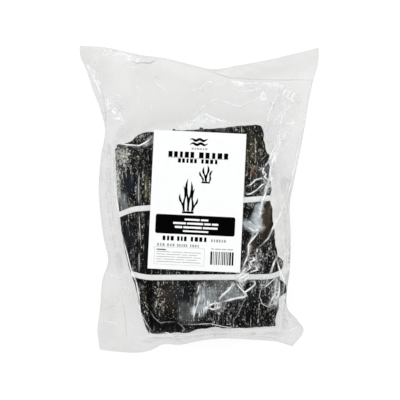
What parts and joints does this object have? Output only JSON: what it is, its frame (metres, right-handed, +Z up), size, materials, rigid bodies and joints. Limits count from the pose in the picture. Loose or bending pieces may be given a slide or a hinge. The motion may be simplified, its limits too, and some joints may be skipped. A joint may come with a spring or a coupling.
{
  "type": "bag of dried kelp sheets",
  "caption": "Clear film bag, heat-sealed at both ends, holding a strapped bundle of folded dried kelp sheets, with a plain paper label on its upper face.",
  "frame": {"origin": "middle of the bag's plan, on the surface that it lies on", "axes": "+Z up, +Y along the bag towards its empty flap, +X to the right as seen from above"},
  "size_m": [0.2754, 0.3546, 0.09],
  "materials": {
    "film": "clear, glossy, crumpled film",
    "paper": "smooth white label paper",
    "ink": "black print, slightly satin",
    "kelp": "dry, ribbed, blackish green with a pale salt bloom",
    "strap": "white plastic strapping, faintly embossed"
  },
  "bodies": {
    "root": {"bag": "film", "label": "paper"}
  },
  "joints": []
}
